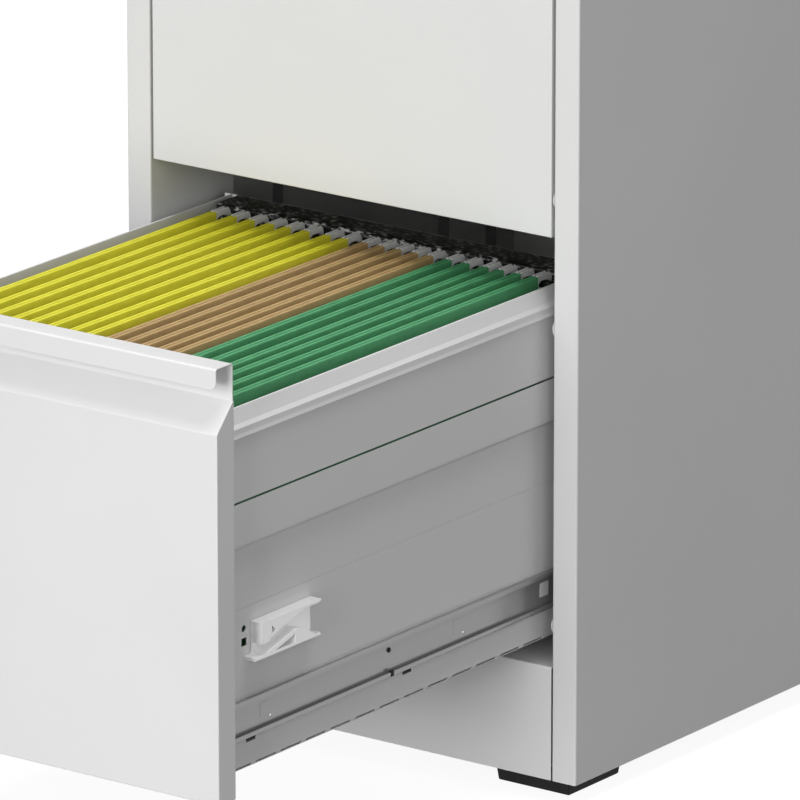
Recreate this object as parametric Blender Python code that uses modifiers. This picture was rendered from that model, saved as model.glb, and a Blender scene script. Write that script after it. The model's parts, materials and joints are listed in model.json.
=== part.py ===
"""Vertical filing cabinet: a folded steel carcass with file drawers on telescopic slides.

Run it in Blender 4.5. Lengths are metres, +Z is up and the floor is at zero. The front is at -Y.
The lowest drawer is pulled out and the others are shut.
"""

import math

import bmesh
import bpy
from mathutils import Matrix, Vector

MM = 0.001

# Sheet, gaps and bends
SHEET = 0.8 * MM
FIT = 0.3 * MM
BEND = 1.6 * MM

# Carcass
CABINET_WIDTH = 381 * MM
CABINET_DEPTH = 460 * MM
STILE_WIDTH = 19.9 * MM
STILE_RETURN = 95 * MM
RETURN_TRIM = 25 * MM
RETURN_RISE = 10 * MM
REAR_RETURN = 18 * MM
KICK_HEIGHT = 81 * MM
KICK_GAP = 0.7 * MM
DECK_FLANGE = 18 * MM
HEADER_HEIGHT = 25.2 * MM
HEADER_RETURN = 18 * MM
FOOT_SIZE = 63 * MM
FOOT_HEIGHT = 15.5 * MM
FOOT_INSET = 16 * MM
FOOT_TAPER = 2.5 * MM
UPRIGHT_WIDTH = 40 * MM
UPRIGHT_LIP = 15 * MM
UPRIGHT_FRONT = 142 * MM
UPRIGHT_REAR = 60 * MM
UPRIGHT_SEAT = 70 * MM

# Drawers
DRAWERS = ("bottom", "middle", "top")
FIRST_OPENING = 371.6 * MM
FRONT_HEIGHT = 297.4 * MM
FRONT_DEPTH = 18.3 * MM
FRONT_GAP = 2.4 * MM
SIDE_GAP = 2.4 * MM
BASE_GAP = 3.5 * MM
FACE_HEIGHT = 252.8 * MM
SLANT_HEIGHT = 19.2 * MM
PULL_LIP = 14.6 * MM
PULL_CORNER = 5.5 * MM
PULL_END = 0.6 * MM
DRAWER_LENGTH = 444.6 * MM
SLIDE_SPACE = 13.6 * MM
TRAY_FLOOR = 11.5 * MM
BAND_STEP = 4.4 * MM
BAND_LOW = 166.9 * MM
BAND_HEIGHT = 30.2 * MM
SEAM = 1.6 * MM
SEAM_FRONT_TAB = 8 * MM
SEAM_REAR_TAB = 55 * MM
RIM_LOW = 241.9 * MM
RIM_REACH = 2 * MM
RIM_UNDERSIDE = 0.7 * MM
RIM_SKIRT = 2.6 * MM
RIM_FLARE = 0.8 * MM
RIM_FACE = 3.6 * MM
RIM_SHELF = 2.6 * MM
RIM_SHELF_RISE = 2.4 * MM
RIM_SLOPE = 9.2 * MM
RIM_INSET = 5.7 * MM
RIM_HEM = 12 * MM
TRAY_BEND = 3 * MM

# Hanging rails
RAIL_SHEET = 1.0 * MM
RAIL_TOP = 261.5 * MM
RAIL_FLANGE = 22 * MM
RAIL_FRONT_DEPTH = 9 * MM
RAIL_REAR_DEPTH = 27 * MM
HOOK_SLOT = 9 * MM
HOOK_LIP = 6 * MM
HOOK_DROP = 3 * MM
RAIL_END_GAP = 6.1 * MM
RAIL_BEND = 2.5 * MM

# Telescopic slides
SLIDE_HEIGHT = 47.7 * MM
SLIDE_SHEET = 1.0 * MM
RACE_GAP = 0.4 * MM
RACE_BEND = 2.6 * MM
INNER_HEIGHT = 26.9 * MM
INNER_REACH = 4.2 * MM
INNER_LIP = 3.4 * MM
INNER_START = 1.5 * MM
INNER_END = 3 * MM
MID_START = 204 * MM
MID_END = 13.6 * MM
MID_RATIO = 0.5
OUTER_START = 28 * MM
OUTER_END = 12.6 * MM
SLIDE_HOLE = 1.9 * MM
SLIDE_HOLE_PLACE = 200.7 * MM
SLIDE_HOLE_RISE = 4.8 * MM
SLIDE_NOTCH = 4 * MM

# Interlock cam on the right wall of each drawer
CAM_FRONT = 42.6 * MM
CAM_LOW = 87.8 * MM
CAM_LENGTH = 72.3 * MM
CAM_HEIGHT = 24.7 * MM
CAM_DEPTH = 9.2 * MM
CAM_PLATE = 1.6 * MM
CAM_FLANGE = 2.1 * MM
CAM_FLARE = 7 * MM
CAM_BLOCK = 10 * MM
CAM_BLOCK_HEIGHT = 14.6 * MM
CAM_RIB = 2.2 * MM
CAM_PEAK = 11.1 * MM

# Lock and locking bar
LOCK_INSET = 20 * MM
LOCK_BARREL = 9 * MM
LOCK_BEZEL = 11 * MM
LOCK_BEZEL_DEPTH = 2.5 * MM
LOCK_LENGTH = 24 * MM
PLUG_RADIUS = 6 * MM
PLUG_GAP = 0.08 * MM
KEYWAY_WIDTH = 1.6 * MM
KEYWAY_HEIGHT = 7 * MM
KEYWAY_DEPTH = 6 * MM
LEVER_THICKNESS = 2 * MM
LEVER_ARM = 7 * MM
LEVER_ANGLE = math.radians(45)
CRANK_RADIUS = 1.75 * MM
CRANK_PLAY = 0.8 * MM
BAR_WIDTH = 10 * MM
BAR_THICKNESS = 3 * MM
BAR_SPACE = 9.7 * MM
BAR_PIN_RADIUS = 2.5 * MM
BAR_PIN_GAP = 0.5 * MM
PIN_WINDOW = 1.5 * MM
BAR_FOOT = 60 * MM
HORN_HEIGHT = 5 * MM
HORN_THICKNESS = 2.5 * MM
HORN_GAP = 1.5 * MM
GUIDE_WALL = 4 * MM
GUIDE_SKIN = 2 * MM
GUIDE_HEIGHT = 20 * MM
GUIDE_LEVEL = 150 * MM

ROUND_SIDES = 24
ARC_STEPS = 3

# Places worked out from the sizes above
HALF_WIDTH = CABINET_WIDTH / 2
FRONT_HALF = HALF_WIDTH - STILE_WIDTH - SIDE_GAP
PITCH = FRONT_HEIGHT + FRONT_GAP
FIRST_FRONT = FOOT_HEIGHT + KICK_HEIGHT + BASE_GAP
HEADER_LOW = FIRST_FRONT + len(DRAWERS) * PITCH
CABINET_HEIGHT = HEADER_LOW + HEADER_HEIGHT
SLANT_TOP = FACE_HEIGHT + SLANT_HEIGHT
WALL_X = HALF_WIDTH - STILE_WIDTH - SLIDE_SPACE
BAND_X = WALL_X + BAND_STEP
BAND_TOP = BAND_LOW + BAND_HEIGHT
INNER_X = WALL_X + FIT
INNER_TIP = INNER_X + INNER_REACH
MID_X = INNER_TIP + RACE_GAP + SLIDE_SHEET
OUTER_X = MID_X + RACE_GAP + SLIDE_SHEET
MID_HEIGHT = INNER_HEIGHT + 2 * (RACE_GAP + SLIDE_SHEET)
OUTER_HEIGHT = MID_HEIGHT + 2 * (RACE_GAP + SLIDE_SHEET)
PANEL_FRONT = FRONT_DEPTH + FIT
PANEL_REAR = PANEL_FRONT + SHEET
CAM_X = WALL_X + FIT
CAM_FACE = CAM_X + CAM_DEPTH
BAR_X = OUTER_X + BAR_SPACE
BAR_Y = CAM_FRONT + CAM_FLARE / 2
PIN_LEVEL = CAM_LOW + CAM_FLANGE + FIT + BAR_PIN_RADIUS
LOCK_X = HALF_WIDTH - STILE_WIDTH - LOCK_INSET
LOCK_Z = HEADER_LOW + HEADER_HEIGHT / 2
BAR_LIFT = 2 * LEVER_ARM * math.sin(LEVER_ANGLE)
LEVER_Y = LOCK_LENGTH + HORN_GAP
HORN_Y = LEVER_Y + LEVER_THICKNESS + HORN_GAP
CRANK_X = LOCK_X + LEVER_ARM * math.cos(LEVER_ANGLE)
CRANK_Z = LOCK_Z - LEVER_ARM * math.sin(LEVER_ANGLE)

PLANES = {"XY": (0, 1, 2), "YZ": (1, 2, 0), "XZ": (0, 2, 1)}


def clear_scene():
    """Removes what an earlier run or the start-up file left."""
    for obj in list(bpy.data.objects):
        bpy.data.objects.remove(obj, do_unlink=True)


def new_collection(name):
    made = bpy.data.collections.new(name)
    bpy.context.scene.collection.children.link(made)
    return made


def new_material(name, colour, roughness, metallic):
    made = bpy.data.materials.new(name)
    made.use_nodes = True
    shader = made.node_tree.nodes["Principled BSDF"]
    shader.inputs["Base Color"].default_value = (*colour, 1)
    shader.inputs["Roughness"].default_value = roughness
    shader.inputs["Metallic"].default_value = metallic
    made.diffuse_color = (*colour, 1)
    return made


def new_empty(name, place, parent=None):
    made = bpy.data.objects.new(name, None)
    made.location = place
    made.parent = parent
    PARTS.objects.link(made)
    return made


def new_object(name, bm, parent, finish):
    """Makes a named piece from a bmesh, under the empty that carries it."""
    mesh = bpy.data.meshes.new(name)
    bm.to_mesh(mesh)
    bm.free()
    mesh.materials.append(finish)
    made = bpy.data.objects.new(name, mesh)
    made.parent = parent
    PARTS.objects.link(made)
    return made


def at(plane, u, v, w):
    """The point whose two coordinates in the plane are u and v, and whose third is w."""
    point = Vector((0, 0, 0))
    for axis, value in zip(PLANES[plane], (u, v, w)):
        point[axis] = value
    return point


def mirrored(points, side):
    """The points of a right-hand piece, or of its left-hand twin where side is -1."""
    return [(side * u, v) for u, v in points]


def rounded(path, radius, steps=ARC_STEPS):
    """The path with each of its inner corners turned into an arc."""
    points = [Vector(path[0])]
    for before, corner, after in zip(path, path[1:], path[2:]):
        corner = Vector(corner)
        back = Vector(before) - corner
        ahead = Vector(after) - corner
        half = back.angle(ahead) / 2
        reach = min(radius / math.tan(half), 0.45 * min(back.length, ahead.length))
        start = corner + back.normalized() * reach
        end = corner + ahead.normalized() * reach
        middle = (back.normalized() + ahead.normalized()).normalized()
        centre = corner + middle * reach / math.cos(half)
        spread = (start - centre).angle_signed(end - centre)
        for step in range(steps + 1):
            turn = Matrix.Rotation(-spread * step / steps, 2)
            points.append(centre + turn @ (start - centre))
    points.append(Vector(path[-1]))
    return [tuple(point) for point in points]


def folded_sheet(name, path, plane, span, thickness, parent, finish, grows="left", side=1):
    """Sheet bent along a path and swept over a span, as thick to the left or right of the path."""
    bm = bmesh.new()
    corners = [bm.verts.new(at(plane, u, v, span[0])) for u, v in mirrored_path(path, plane, side)]
    edges = [bm.edges.new(pair) for pair in zip(corners, corners[1:])]
    ahead = corners[1].co - corners[0].co
    swept = bmesh.ops.extrude_edge_only(bm, edges=edges)["geom"]
    moved = [item for item in swept if isinstance(item, bmesh.types.BMVert)]
    bmesh.ops.translate(bm, verts=moved, vec=at(plane, 0, 0, span[1] - span[0]))
    bm.normal_update()
    u_axis, v_axis, _ = PLANES[plane]
    left = at(plane, -ahead[v_axis], ahead[u_axis], 0) * side
    faces_left = edges[0].link_faces[0].normal.dot(left) > 0
    made = new_object(name, bm, parent, finish)
    solidify = made.modifiers.new("thickness", "SOLIDIFY")
    solidify.thickness = thickness
    solidify.offset = 1 if faces_left == (grows == "left") else -1
    solidify.use_even_offset = True
    return made


def mirrored_path(path, plane, side):
    """Mirrors across the cabinet's middle, where the plane's first axis is X."""
    return path if plane == "YZ" else mirrored(path, side)


def flat_outline_bmesh(outline, plane, span):
    """A flat outline, filled and thickened over a span."""
    curve = bpy.data.curves.new("outline", "CURVE")
    curve.dimensions = "2D"
    curve.fill_mode = "BOTH"
    curve.extrude = abs(span[1] - span[0]) / 2
    spline = curve.splines.new("POLY")
    spline.points.add(len(outline) - 1)
    for point, (u, v) in zip(spline.points, outline):
        point.co = (u, v, 0, 1)
    spline.use_cyclic_u = True
    holder = bpy.data.objects.new("outline", curve)
    PARTS.objects.link(holder)
    graph = bpy.context.evaluated_depsgraph_get()
    mesh = bpy.data.meshes.new_from_object(holder.evaluated_get(graph))
    bm = bmesh.new()
    bm.from_mesh(mesh)
    bpy.data.objects.remove(holder, do_unlink=True)
    bpy.data.meshes.remove(mesh)
    u_way = at(plane, 1, 0, 0)
    v_way = at(plane, 0, 1, 0)
    turn = Matrix((u_way, v_way, u_way.cross(v_way))).transposed().to_4x4()
    turn.translation = at(plane, 0, 0, (span[0] + span[1]) / 2)
    bm.transform(turn)
    bmesh.ops.remove_doubles(bm, verts=bm.verts, dist=SHEET / 1000)
    bmesh.ops.recalc_face_normals(bm, faces=bm.faces)
    return bm


def flat_outline(name, outline, plane, span, parent, finish):
    return new_object(name, flat_outline_bmesh(outline, plane, span), parent, finish)


def block(name, low, high, parent, finish):
    """A box between two corners."""
    bm = bmesh.new()
    size = Vector(high) - Vector(low)
    middle = (Vector(high) + Vector(low)) / 2
    place = Matrix.Translation(middle) @ Matrix.Diagonal((*size, 1))
    bmesh.ops.create_cube(bm, size=1, matrix=place)
    return new_object(name, bm, parent, finish)


def rod(name, start, end, radius, parent, finish):
    """A round bar between two points."""
    bm = bmesh.new()
    along = Vector(end) - Vector(start)
    turn = along.to_track_quat("Z", "Y").to_matrix().to_4x4()
    place = Matrix.Translation((Vector(start) + Vector(end)) / 2) @ turn
    bmesh.ops.create_cone(
        bm,
        cap_ends=True,
        segments=ROUND_SIDES,
        radius1=radius,
        radius2=radius,
        depth=along.length,
        matrix=place,
    )
    made = new_object(name, bm, parent, finish)
    made.data.shade_smooth()
    made.data.set_sharp_from_angle(angle=math.radians(40))
    return made


def use_tool(piece, tool, operation):
    """Joins or cuts a piece with a tool, which moves out of the parts."""
    PARTS.objects.unlink(tool)
    CUTTERS.objects.link(tool)
    tool.hide_render = True
    tool.display_type = "WIRE"
    boolean = piece.modifiers.new(tool.name, "BOOLEAN")
    boolean.operation = operation
    boolean.object = tool
    boolean.solver = "EXACT"


def join(piece, *tools):
    for tool in tools:
        use_tool(piece, tool, "UNION")


def cut(piece, *tools):
    for tool in tools:
        use_tool(piece, tool, "DIFFERENCE")


def soften(piece, width, segments=2):
    bevel = piece.modifiers.new("soft edges", "BEVEL")
    bevel.width = width
    bevel.segments = segments
    bevel.limit_method = "ANGLE"


def side_name(side):
    return "right" if side > 0 else "left"


def make_side_panel(side, cabinet):
    """Outer side with the front stile, its deep return and the rear return, all one sheet.

    The return stops short of the bottom panel and the lock, and on the right the bar's pins pass it.
    """
    path = rounded(
        [
            (HALF_WIDTH - STILE_WIDTH, STILE_RETURN),
            (HALF_WIDTH - STILE_WIDTH, 0),
            (HALF_WIDTH, 0),
            (HALF_WIDTH, CABINET_DEPTH),
            (HALF_WIDTH - REAR_RETURN, CABINET_DEPTH),
        ],
        BEND,
    )
    span = (FOOT_HEIGHT, CABINET_HEIGHT - SHEET - FIT)
    name = f"side_panel_{side_name(side)}"
    panel = folded_sheet(name, path, "XY", span, SHEET, cabinet, PAINT, side=side)
    trims = (
        ("bottom", FOOT_HEIGHT - SHEET, FOOT_HEIGHT + RETURN_RISE),
        ("top", HEADER_LOW, CABINET_HEIGHT),
    )
    for label, low, high in trims:
        name = f"return_trim_{label}"
        rear = STILE_RETURN + SHEET
        cut(panel, return_cutter(name, side, RETURN_TRIM, rear, low, high, cabinet))
    if side < 0:
        return
    reach = BAR_PIN_RADIUS + PIN_WINDOW
    for number, label in enumerate(DRAWERS):
        level = FIRST_FRONT + number * PITCH + PIN_LEVEL
        name = f"pin_window_{label}"
        high = level + BAR_LIFT + reach
        cut(panel, return_cutter(name, side, BAR_Y - reach, BAR_Y + reach, level - reach, high, cabinet))


def return_cutter(name, side, front, rear, low, high, cabinet):
    """A box that cuts through the stile's return alone."""
    inner = HALF_WIDTH - STILE_WIDTH
    across = sorted((side * (inner - SHEET), side * (inner + 2 * SHEET)))
    return block(name, (across[0], front, low), (across[1], rear, high), cabinet, PAINT)


def make_back_panel(cabinet):
    rear = CABINET_DEPTH - SHEET - FIT
    half = HALF_WIDTH - SHEET - FIT
    low = (-half, rear - SHEET, FOOT_HEIGHT + SHEET + FIT)
    high = (half, rear, CABINET_HEIGHT - SHEET - FIT)
    block("back_panel", low, high, cabinet, PAINT)


def make_top_panel(cabinet):
    """Flat top over the side panels, with the header that closes the front above the drawers."""
    low = (-HALF_WIDTH, 0, CABINET_HEIGHT - SHEET)
    high = (HALF_WIDTH, CABINET_DEPTH, CABINET_HEIGHT)
    top = block("top_panel", low, high, cabinet, PAINT)
    header_half = HALF_WIDTH - STILE_WIDTH - FIT
    path = rounded(
        [
            (HEADER_RETURN, HEADER_LOW),
            (0, HEADER_LOW),
            (0, CABINET_HEIGHT - SHEET / 2),
        ],
        BEND,
    )
    span = (-header_half, header_half)
    header = folded_sheet("header", path, "YZ", span, SHEET, cabinet, PAINT, grows="right")
    hole_start = (LOCK_X, -SHEET, LOCK_Z)
    hole_end = (LOCK_X, 2 * SHEET, LOCK_Z)
    hole = rod("lock_hole", hole_start, hole_end, LOCK_BARREL + FIT, cabinet, PAINT)
    join(top, header)
    cut(top, hole)


def make_base(cabinet):
    """Kick plate and deck as one bent sheet, and the bottom panel that carries the feet."""
    rear = CABINET_DEPTH - 3 * SHEET - 2 * FIT
    deck_top = FOOT_HEIGHT + KICK_HEIGHT
    half = HALF_WIDTH - STILE_WIDTH - KICK_GAP
    path = rounded(
        [
            (0, FOOT_HEIGHT),
            (0, deck_top),
            (rear, deck_top),
            (rear, deck_top - DECK_FLANGE),
        ],
        BEND,
    )
    folded_sheet("base_pan", path, "YZ", (-half, half), SHEET, cabinet, PAINT, grows="right")
    panel_half = HALF_WIDTH - SHEET - FIT
    low = (-panel_half, RETURN_TRIM + FIT, FOOT_HEIGHT)
    high = (panel_half, rear, FOOT_HEIGHT + SHEET)
    block("bottom_panel", low, high, cabinet, PAINT)


def make_foot(side, end, cabinet):
    """Square block foot, a little narrower at the floor."""
    middle_x = side * (HALF_WIDTH - FOOT_INSET - FOOT_SIZE / 2)
    inset = FOOT_INSET + FOOT_SIZE / 2
    middle_y = inset if end == "front" else CABINET_DEPTH - inset
    bm = bmesh.new()
    diagonal = FOOT_SIZE / math.sqrt(2)
    height = FOOT_HEIGHT - FIT
    turn = Matrix.Rotation(math.radians(45), 4, "Z")
    bmesh.ops.create_cone(
        bm,
        cap_ends=True,
        segments=4,
        radius1=diagonal - FOOT_TAPER,
        radius2=diagonal,
        depth=height,
        matrix=Matrix.Translation((middle_x, middle_y, height / 2)) @ turn,
    )
    foot = new_object(f"foot_{end}_{side_name(side)}", bm, cabinet, BLACK_PLASTIC)
    soften(foot, FOOT_TAPER / 2)


def make_upright(side, end, cabinet):
    """Hat section that stands on the deck and carries the slides off the side panel.

    Between the slides its crown is cut away and only its lips run on.
    """
    middle = UPRIGHT_FRONT if end == "front" else CABINET_DEPTH - UPRIGHT_REAR
    half = UPRIGHT_WIDTH / 2
    outer = HALF_WIDTH - SHEET - FIT
    crown = OUTER_X + FIT + SHEET
    path = rounded(
        [
            (outer, middle - half - UPRIGHT_LIP),
            (outer, middle - half),
            (crown, middle - half),
            (crown, middle + half),
            (outer, middle + half),
            (outer, middle + half + UPRIGHT_LIP),
        ],
        BEND,
    )
    span = (FOOT_HEIGHT + KICK_HEIGHT + FIT, CABINET_HEIGHT - SHEET - FIT)
    name = f"upright_{end}_{side_name(side)}"
    upright = folded_sheet(name, path, "XY", span, SHEET, cabinet, ZINC, side=side)
    across = sorted((side * (crown - 2 * SHEET), side * (outer + 2 * SHEET)))
    reach = half + 2 * BEND
    for number in range(len(DRAWERS) - 1):
        level = FIRST_FRONT + number * PITCH + SLIDE_HEIGHT
        window_low = (across[0], middle - reach, level + UPRIGHT_SEAT / 2)
        window_high = (across[1], middle + reach, level + PITCH - UPRIGHT_SEAT / 2)
        cut(upright, block(f"{name}_window_{number}", window_low, window_high, cabinet, ZINC))


def channel_path(web, tip, height):
    """Half-round edged channel section with its web at one X and its open side at another."""
    half = height / 2
    return rounded([(tip, half), (web, half), (web, -half), (tip, -half)], RACE_BEND)


def make_slide_outer(label, side, level, cabinet):
    tip = INNER_X + SLIDE_SHEET + 2 * RACE_GAP + SLIDE_SHEET
    path = [(x, z + level) for x, z in channel_path(OUTER_X, tip, OUTER_HEIGHT)]
    span = (OUTER_START, DRAWER_LENGTH - OUTER_END)
    name = f"slide_outer_{label}_{side_name(side)}"
    folded_sheet(name, path, "XZ", span, SLIDE_SHEET, cabinet, ZINC, grows="right", side=side)


def make_slide_mid(label, side, runner):
    tip = INNER_X + SLIDE_SHEET + RACE_GAP
    path = channel_path(MID_X, tip, MID_HEIGHT)
    span = (MID_START, DRAWER_LENGTH - MID_END)
    name = f"slide_mid_{label}_{side_name(side)}"
    folded_sheet(name, path, "XZ", span, SLIDE_SHEET, runner, ZINC, grows="right", side=side)


def make_slide_inner(label, side, drawer):
    """Drawer member: a channel that opens outward, with turned-in lips."""
    half = INNER_HEIGHT / 2
    section = [
        (INNER_TIP, half - INNER_LIP),
        (INNER_TIP, half),
        (INNER_X, half),
        (INNER_X, -half),
        (INNER_TIP, -half),
        (INNER_TIP, INNER_LIP - half),
    ]
    path = [(x, z + SLIDE_HEIGHT) for x, z in rounded(section, RACE_BEND / 2)]
    span = (PANEL_REAR + INNER_START, DRAWER_LENGTH - INNER_END)
    name = f"slide_inner_{label}_{side_name(side)}"
    member = folded_sheet(name, path, "XZ", span, SLIDE_SHEET, drawer, ZINC, grows="left", side=side)
    hole_level = SLIDE_HEIGHT + SLIDE_HOLE_RISE
    hole_start = (side * (INNER_X - SLIDE_SHEET), SLIDE_HOLE_PLACE, hole_level)
    hole_end = (side * (INNER_X + 2 * SLIDE_SHEET), SLIDE_HOLE_PLACE, hole_level)
    hole = rod(f"{name}_hole", hole_start, hole_end, SLIDE_HOLE, drawer, ZINC)
    edge = SLIDE_HEIGHT - half
    across = sorted((side * (INNER_X + SLIDE_SHEET), side * (INNER_TIP + SLIDE_SHEET)))
    notch_low = (across[0], SLIDE_HOLE_PLACE - SLIDE_NOTCH / 2, edge - SLIDE_SHEET)
    notch_high = (across[1], SLIDE_HOLE_PLACE + SLIDE_NOTCH / 2, edge + INNER_LIP + SLIDE_SHEET)
    cut(member, hole, block(f"{name}_notch", notch_low, notch_high, drawer, ZINC))


def make_drawer_front(label, drawer):
    """Boxed front with an open back and a slanted top, and the pull folded over the slant."""
    outline = [
        (0, 0),
        (FRONT_DEPTH, 0),
        (FRONT_DEPTH, SLANT_TOP),
        (FRONT_DEPTH - SHEET, SLANT_TOP),
        (0, FACE_HEIGHT),
    ]
    bm = flat_outline_bmesh(outline, "YZ", (-FRONT_HALF, FRONT_HALF))
    face_edges = [edge for edge in bm.edges if all(vert.co.y < FIT for vert in edge.verts)]
    face_edges = [edge for edge in face_edges if len(edge.link_faces) == 2 and edge.calc_face_angle() > 0.1]
    bmesh.ops.bevel(bm, geom=face_edges, offset=SHEET, segments=2, affect="EDGES", profile=0.5)
    front = new_object(f"drawer_front_{label}", bm, drawer, PAINT)

    slope = math.atan2(SLANT_HEIGHT, FRONT_DEPTH - SHEET)
    slant_drop = SHEET / math.cos(slope)
    behind = FRONT_DEPTH + SHEET
    rise = math.tan(slope)
    hollow_face = FACE_HEIGHT - slant_drop + SHEET * rise
    hollow_top = FACE_HEIGHT - slant_drop + (FRONT_DEPTH - SHEET) * rise
    hollow = [
        (SHEET, SHEET),
        (behind, SHEET),
        (behind, hollow_top),
        (FRONT_DEPTH - SHEET, hollow_top),
        (SHEET, hollow_face),
    ]
    inside_half = FRONT_HALF - SHEET
    hollow_tool = flat_outline(
        f"front_hollow_{label}", hollow, "YZ", (-inside_half, inside_half), drawer, PAINT
    )
    pull = make_pull(label, drawer)
    cut(front, hollow_tool)
    join(front, pull)
    for side in (-1, 1):
        cut(front, make_pull_corner(label, side, drawer))


def make_pull(label, drawer):
    """Recess wall, top flange and turned-down lip of the pull, as one bent sheet."""
    wall = FRONT_DEPTH - SHEET
    under_top = FRONT_HEIGHT - SHEET
    path = rounded(
        [
            (wall, SLANT_TOP - 4 * SHEET),
            (wall, under_top),
            (SHEET, under_top),
            (SHEET, FRONT_HEIGHT - PULL_LIP),
        ],
        SHEET,
    )
    half = FRONT_HALF - PULL_END
    name = f"pull_{label}"
    return folded_sheet(name, path, "YZ", (-half, half), SHEET, drawer, PAINT, grows="right")


def make_pull_corner(label, side, drawer):
    """What is cut off the lip to round its lower corner."""
    end = FRONT_HALF - PULL_END
    low = FRONT_HEIGHT - PULL_LIP
    centre = Vector((end - PULL_CORNER, low + PULL_CORNER))
    outline = [(end + SHEET, low - SHEET), (end + SHEET, centre.y)]
    for step in range(2 * ARC_STEPS + 1):
        angle = -math.pi / 2 * step / (2 * ARC_STEPS)
        reach = Vector((math.cos(angle), math.sin(angle))) * PULL_CORNER
        outline.append(tuple(centre + reach))
    outline.append((centre.x, low - SHEET))
    name = f"pull_corner_{label}_{side_name(side)}"
    return flat_outline(name, mirrored(outline, side), "XZ", (-SHEET, 3 * SHEET), drawer, PAINT)


def make_tray(label, drawer):
    """Floor and lower walls bent from one sheet, with the inner front and the back joined on."""
    shoulder = BAND_LOW - 2 * SHEET
    half_path = [
        (WALL_X, TRAY_FLOOR),
        (WALL_X, shoulder),
        (BAND_X, BAND_LOW),
        (BAND_X, BAND_TOP),
    ]
    path = [(-x, z) for x, z in reversed(half_path)] + half_path
    span = (PANEL_FRONT + SHEET / 2, DRAWER_LENGTH - SHEET / 2)
    tray = folded_sheet(
        f"drawer_tray_{label}", rounded(path, TRAY_BEND, 2), "XZ", span, SHEET, drawer, PAINT
    )
    inner_half = FRONT_HALF - SHEET
    inner_low = (-inner_half, PANEL_FRONT, SHEET)
    inner_high = (inner_half, PANEL_REAR, SLANT_TOP - SHEET)
    inner_front = block(f"inner_front_{label}", inner_low, inner_high, drawer, PAINT)
    back_half = WALL_X - SHEET / 2
    back_low = (-back_half, DRAWER_LENGTH - SHEET, TRAY_FLOOR + SHEET / 2)
    back_high = (back_half, DRAWER_LENGTH, RAIL_TOP - RAIL_SHEET)
    back = block(f"tray_back_{label}", back_low, back_high, drawer, PAINT)
    upper_half = BAND_X - SHEET / 2
    upper_low = (-upper_half, DRAWER_LENGTH - SHEET, BAND_LOW + TRAY_BEND)
    upper_high = (upper_half, DRAWER_LENGTH, RAIL_TOP - RAIL_SHEET)
    upper_back = block(f"tray_upper_back_{label}", upper_low, upper_high, drawer, PAINT)
    join(tray, inner_front, back, upper_back)


def make_side_extension(label, side, drawer):
    """Upper drawer wall in line with the tray's band, with a stepped and sloping rim.

    Its ends are set in and drop behind the band. Between them a seam is left open above the band.
    """
    skirt = BAND_X + RIM_REACH
    skirt_low = RIM_LOW + RIM_UNDERSIDE
    face = skirt - RIM_FLARE
    face_low = skirt_low + RIM_SKIRT
    shelf_low = face_low + RIM_FACE
    shelf_top = shelf_low + RIM_SHELF_RISE
    edge = BAND_X - RIM_INSET
    rim_top = shelf_top + RIM_SLOPE
    hem = edge - 2 * SHEET
    tab = BAND_X - SHEET - FIT
    joggle = SEAM / 8
    path = [
        (tab, BAND_LOW + TRAY_BEND),
        (tab, BAND_TOP + joggle),
        (BAND_X, BAND_TOP + SEAM - joggle),
        (BAND_X, RIM_LOW),
        (skirt, skirt_low),
        (face, face_low),
        (face - RIM_FLARE / 2, shelf_low),
        (face - RIM_SHELF, shelf_top),
        (edge, rim_top),
        (hem, rim_top),
        (hem, rim_top - RIM_HEM),
    ]
    span = (PANEL_REAR + FIT, DRAWER_LENGTH - SHEET - FIT)
    name = f"side_extension_{label}_{side_name(side)}"
    extension = folded_sheet(name, path, "XZ", span, SHEET, drawer, PAINT, side=side)
    across = sorted((side * (tab - 2 * SHEET), side * (BAND_X + SHEET)))
    seam_low = (across[0], span[0] + SEAM_FRONT_TAB, BAND_LOW)
    seam_high = (across[1], span[1] - SEAM_REAR_TAB, BAND_TOP + SEAM)
    cut(extension, block(f"{name}_seam", seam_low, seam_high, drawer, PAINT))


def make_hang_rail(label, end, drawer):
    """Rail with a slot that the hooks of hanging files drop into."""
    if end == "front":
        seat = PANEL_REAR + FIT
        way = 1
        depth = RAIL_FRONT_DEPTH
    else:
        seat = DRAWER_LENGTH - SHEET - FIT
        way = -1
        depth = RAIL_REAR_DEPTH
    slot_floor = RAIL_TOP - RAIL_SHEET - HOOK_DROP - HOOK_LIP
    face = seat + way * depth
    lip = face + way * HOOK_SLOT
    path = [
        (seat, RAIL_TOP - RAIL_FLANGE),
        (seat, RAIL_TOP),
        (face, RAIL_TOP),
        (face, slot_floor),
        (lip, slot_floor),
        (lip, slot_floor + HOOK_LIP),
    ]
    half = BAND_X - RIM_INSET - 2 * SHEET - RAIL_END_GAP
    name = f"hang_rail_{end}_{label}"
    grows = "right" if way > 0 else "left"
    bent = rounded(path, RAIL_BEND)
    folded_sheet(name, bent, "YZ", (-half, half), RAIL_SHEET, drawer, BLACK_PAINT, grows=grows)


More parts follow.
